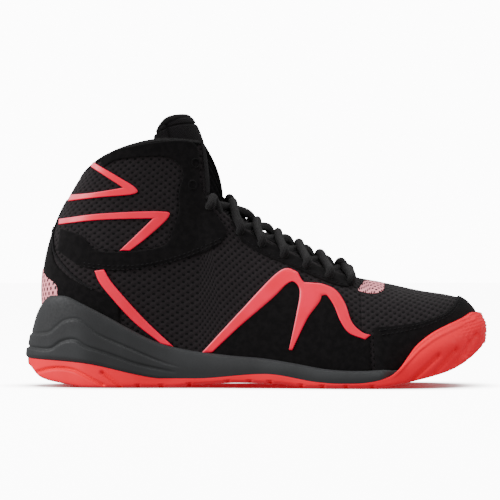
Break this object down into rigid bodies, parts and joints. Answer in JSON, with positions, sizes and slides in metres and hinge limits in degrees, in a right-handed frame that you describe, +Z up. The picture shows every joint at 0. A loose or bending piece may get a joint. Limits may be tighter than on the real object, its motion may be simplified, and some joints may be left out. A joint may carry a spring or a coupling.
{
  "type": "basketball high top",
  "caption": "Mid-height laced court shoe with cup sole, mesh and suede upper, film struts, padded collar, free tongue top and removable insole.",
  "frame": {"origin": "on the ground under the middle of the shoe's box", "axes": "+X towards the toe, +Y towards the inner (medial) side, +Z up"},
  "size_m": [0.2965, 0.1007, 0.1745],
  "materials": {
    "sole_rubber": "matte",
    "midsole_foam": "matte",
    "board": "matte",
    "insole_fabric": "matte",
    "mesh": "matte",
    "suede": "matte",
    "film": "gloss",
    "dotted_film": "satin",
    "foam": "matte",
    "lining": "matte",
    "tongue_fabric": "matte",
    "lace_cord": "matte",
    "aglet_plastic": "satin"
  },
  "bodies": {
    "shoe": {"outsole": "sole_rubber", "midsole": "midsole_foam", "strobel_board": "board", "heel_counter": "board", "toe_puff": "board", "quarter_lateral": "mesh", "quarter_medial": "mesh", "vamp": "mesh", "toe_cap": "suede", "mudguard_lateral": "suede", "mudguard_medial": "suede", "heel_overlay": "suede", "ankle_overlay_lateral": "suede", "ankle_overlay_medial": "suede", "eyestay_lateral": "suede", "eyestay_medial": "suede", "chevron_upper_lateral": "film", "chevron_upper_medial": "film", "chevron_lower_lateral": "film", "chevron_lower_medial": "film", "heel_strut_lateral": "film", "heel_strut_medial": "film", "midfoot_strut_lateral": "film", "midfoot_strut_medial": "film", "toe_strut_lateral": "film", "toe_strut_medial": "film", "heel_panel": "dotted_film", "vamp_panel_lateral": "dotted_film", "vamp_panel_medial": "dotted_film", "collar_foam": "foam", "collar_lining": "lining", "tongue_body": "tongue_fabric", "lace": "lace_cord", "aglets": "aglet_plastic"},
    "insole_lift": {"insole": "insole_fabric"},
    "tongue_top": {"tongue_flap": "tongue_fabric", "tongue_binding": "suede"}
  },
  "joints": [
    {"name": "insole_hinge", "type": "hinge", "parent": "shoe", "child": "insole_lift", "pos_m": [0.132, 0.002, 0.026], "axis": [0, 1, 0], "range_deg": [0, 5]},
    {"name": "tongue_hinge", "type": "hinge", "parent": "shoe", "child": "tongue_top", "pos_m": [-0.0285, 0, 0.12], "axis": [0, 1, 0], "range_deg": [0, 16]}
  ]
}
